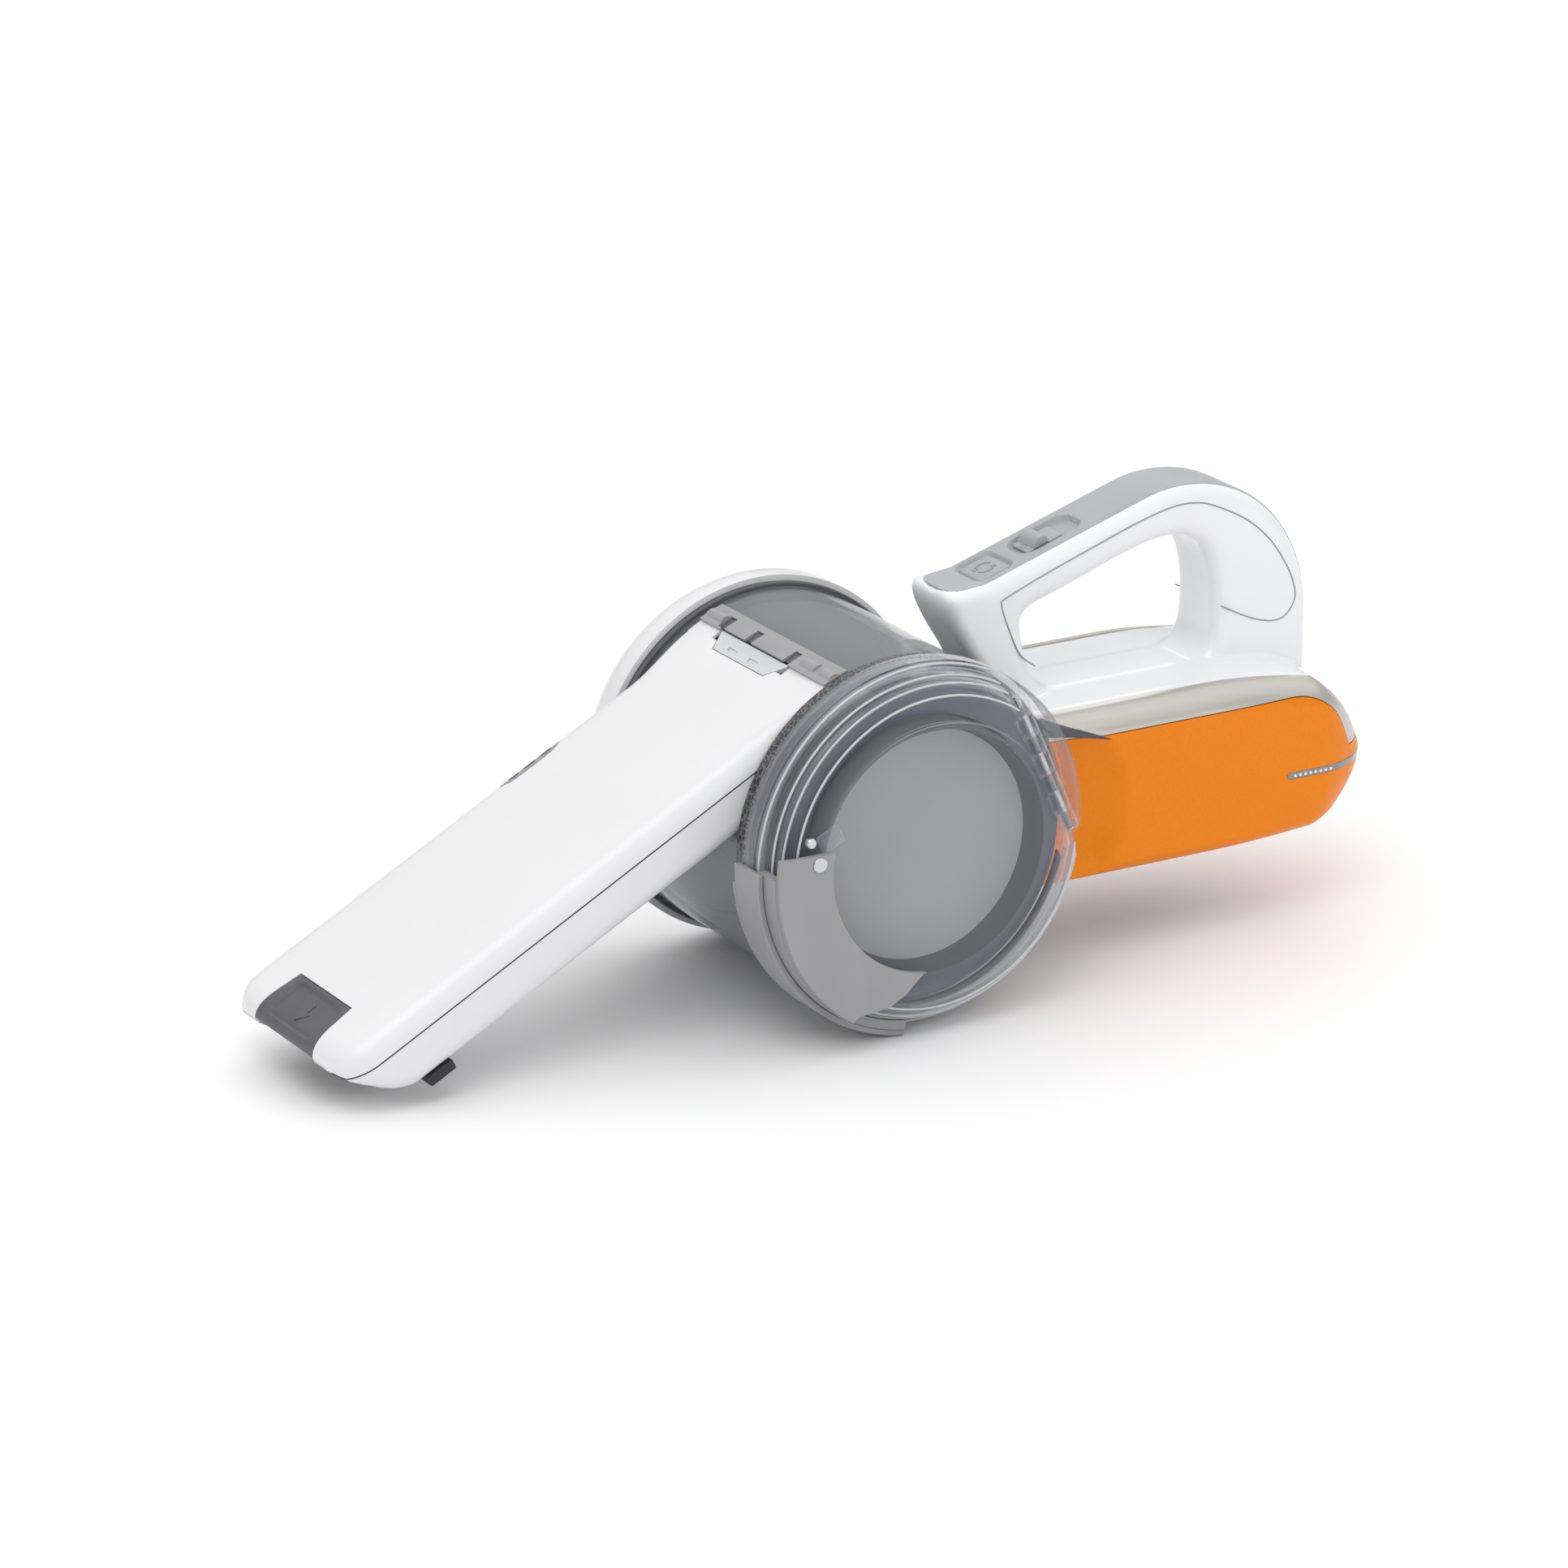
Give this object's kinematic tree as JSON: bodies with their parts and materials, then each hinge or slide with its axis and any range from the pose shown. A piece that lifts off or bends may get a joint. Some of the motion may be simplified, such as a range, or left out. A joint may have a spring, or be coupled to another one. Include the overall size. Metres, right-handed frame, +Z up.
{
  "type": "handheld vacuum",
  "caption": "Cordless handheld vacuum with a clear dust drum that pivots in front of a motor body with a loop handle, a flat nozzle and a pull-out crevice tube.",
  "frame": {"origin": "centre of the bounding box at its base, the surface the vacuum stands on", "axes": "+X from the nozzle towards the handle and tail, +Z up, -Y towards the drum's lid"},
  "size_m": [0.4243, 0.14, 0.1617],
  "materials": {
    "white_plastic": "gloss",
    "pale_grey_plastic": "satin",
    "orange_plastic": "satin",
    "champagne_trim": "satin",
    "smoke_clear": "gloss",
    "clear_plastic": "gloss",
    "mid_grey_plastic": "satin",
    "dark_grey_plastic": "satin",
    "rubber": "matte",
    "felt": "matte",
    "filter_cloth": "matte",
    "steel": "satin",
    "fan_plastic": "satin",
    "cell_wrap": "gloss",
    "circuit_green": "satin",
    "indicator_grey": "gloss"
  },
  "bodies": {
    "body": {"housing_left": "white_plastic", "housing_right": "white_plastic", "cover_left": "orange_plastic", "cover_right": "orange_plastic", "trim_left": "champagne_trim", "trim_right": "champagne_trim", "grip_strip": "mid_grey_plastic", "grip_panel_left": "white_plastic", "grip_panel_right": "white_plastic", "hub_arm": "white_plastic", "hub_cap": "white_plastic", "hub_bearing": "fan_plastic", "front_frame": "dark_grey_plastic", "charge_indicator": "indicator_grey", "indicator_leds": "indicator_grey", "vent_grille": "dark_grey_plastic", "exhaust_foam": "felt", "fan_housing": "dark_grey_plastic", "motor_can": "steel", "motor_mount": "dark_grey_plastic", "battery_cells": "cell_wrap", "battery_holder": "dark_grey_plastic", "battery_contacts": "steel", "circuit_board": "circuit_green", "switch_body": "dark_grey_plastic", "charge_socket": "dark_grey_plastic", "housing_screws": "steel"},
    "drum": {"drum_shell": "smoke_clear", "drum_end_plate": "dark_grey_plastic", "drum_front_ring": "clear_plastic", "drum_felt": "felt", "textured_band": "dark_grey_plastic", "detent_ring": "dark_grey_plastic", "hub_retainer": "dark_grey_plastic", "lid_hinge_pin": "steel", "nozzle_top_shell": "white_plastic", "nozzle_bottom_shell": "pale_grey_plastic", "nozzle_knuckles": "mid_grey_plastic", "side_inlay": "mid_grey_plastic", "nozzle_feet": "rubber"},
    "lid": {"lid_window": "clear_plastic", "lid_seal": "rubber", "latch_pin": "steel"},
    "latch": {"latch_band": "mid_grey_plastic", "latch_plate": "mid_grey_plastic"},
    "filter": {"filter_cup": "mid_grey_plastic", "filter_pleats": "filter_cloth", "filter_frame": "dark_grey_plastic", "prefilter_screen": "dark_grey_plastic"},
    "crevice_tool": {"crevice_tube": "dark_grey_plastic", "crevice_pull": "dark_grey_plastic"},
    "tab": {"release_tab": "clear_plastic"},
    "flap": {"inlet_flap": "rubber"},
    "fan": {"impeller": "fan_plastic", "motor_shaft": "steel"},
    "lock_key": {"lock_button": "mid_grey_plastic"},
    "pawl": {"lock_pawl": "dark_grey_plastic"},
    "power_switch": {"power_slider": "mid_grey_plastic"}
  },
  "joints": [
    {"name": "drum_pivot", "type": "hinge", "parent": "body", "child": "drum", "pos_m": [0.00297, 0.0057, 0.06714], "axis": [0, -1, 0], "range_deg": [-48, 148]},
    {"name": "lid_hinge", "type": "hinge", "parent": "drum", "child": "lid", "pos_m": [0.05139, -0.0563, 0.0887], "axis": [-0.4067, 0, 0.9135], "range_deg": [0, 100]},
    {"name": "latch_swing", "type": "hinge", "parent": "lid", "child": "latch", "pos_m": [-0.04603, -0.0697, 0.07314], "axis": [0, 1, 0], "range_deg": [0, 12], "stiffness_Nm_per_rad": 0.4},
    {"name": "filter_twist", "type": "hinge", "parent": "drum", "child": "filter", "pos_m": [0.00297, 0.0057, 0.06714], "axis": [0, -1, 0], "range_deg": [0, 30]},
    {"name": "crevice_slide", "type": "slide", "parent": "drum", "child": "crevice_tool", "axis": [-0.8821, 0, -0.471], "range_m": [0, 0.085]},
    {"name": "tab_lift", "type": "hinge", "parent": "drum", "child": "tab", "pos_m": [-0.02471, 0.0057, 0.12174], "axis": [0, 1, 0], "range_deg": [0, 18], "stiffness_Nm_per_rad": 0.05},
    {"name": "flap_swing", "type": "hinge", "parent": "drum", "child": "flap", "pos_m": [-0.03881, 0.0057, 0.10718], "axis": [0, -1, 0], "range_deg": [0, 25], "stiffness_Nm_per_rad": 0.02},
    {"name": "fan_spin", "type": "hinge", "parent": "body", "child": "fan", "pos_m": [0.07527, 0.0057, 0.06314], "axis": [1, 0, 0], "continuous": true},
    {"name": "lock_press", "type": "slide", "parent": "body", "child": "lock_key", "axis": [0.3024, 0, -0.9532], "range_m": [0, 0.0025], "stiffness_N_per_m": 800},
    {"name": "pawl_slide", "type": "slide", "parent": "body", "child": "pawl", "axis": [0, 1, 0], "range_m": [0, 0.0025]},
    {"name": "power_slide", "type": "slide", "parent": "body", "child": "power_switch", "axis": [0.9532, 0, 0.3024], "range_m": [0, 0.006]}
  ],
  "couplings": [
    {"joint": "pawl_slide", "follows": "lock_press", "ratio": 1}
  ]
}
